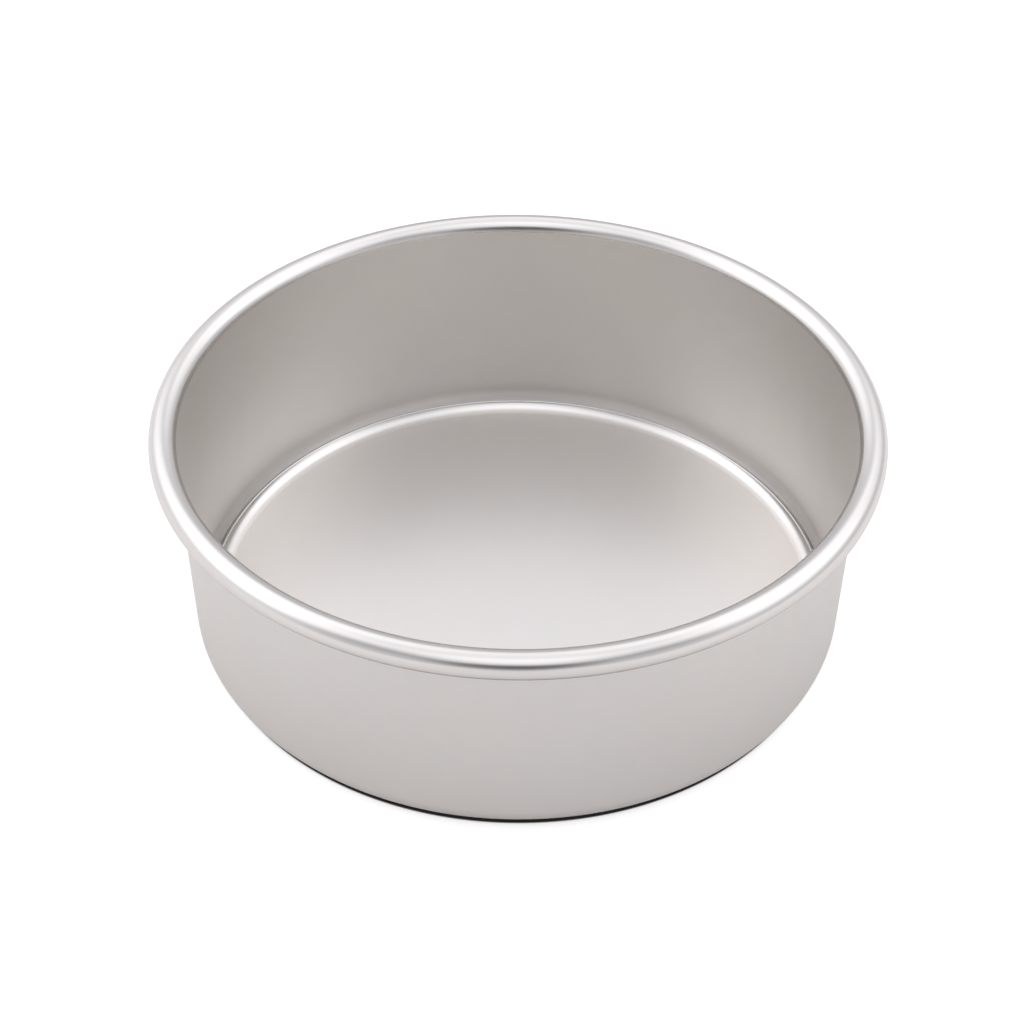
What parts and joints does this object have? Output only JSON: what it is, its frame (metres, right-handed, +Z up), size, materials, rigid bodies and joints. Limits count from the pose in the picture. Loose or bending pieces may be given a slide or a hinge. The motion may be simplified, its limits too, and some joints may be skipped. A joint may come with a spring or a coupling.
{
  "type": "round cake tin",
  "caption": "Round deep cake tin with a full rolled rim, a slightly tapered wall and a loose base that lifts out.",
  "frame": {"origin": "centre of the ring on which the tin stands, at the level of the surface under it", "axes": "+Z up along the tin's axis of revolution, out through the open top; X and Y lie in the plane it stands on"},
  "size_m": [0.2198, 0.2198, 0.0746],
  "materials": {
    "shell_metal": "satin anodised",
    "base_metal": "satin anodised"
  },
  "bodies": {
    "tin": {"tin_body": "shell_metal"},
    "base": {"loose_base": "base_metal"}
  },
  "joints": [
    {"name": "base_lift", "type": "slide", "parent": "tin", "child": "base", "axis": [0, 0, 1], "range_m": [0, 0.085]}
  ]
}
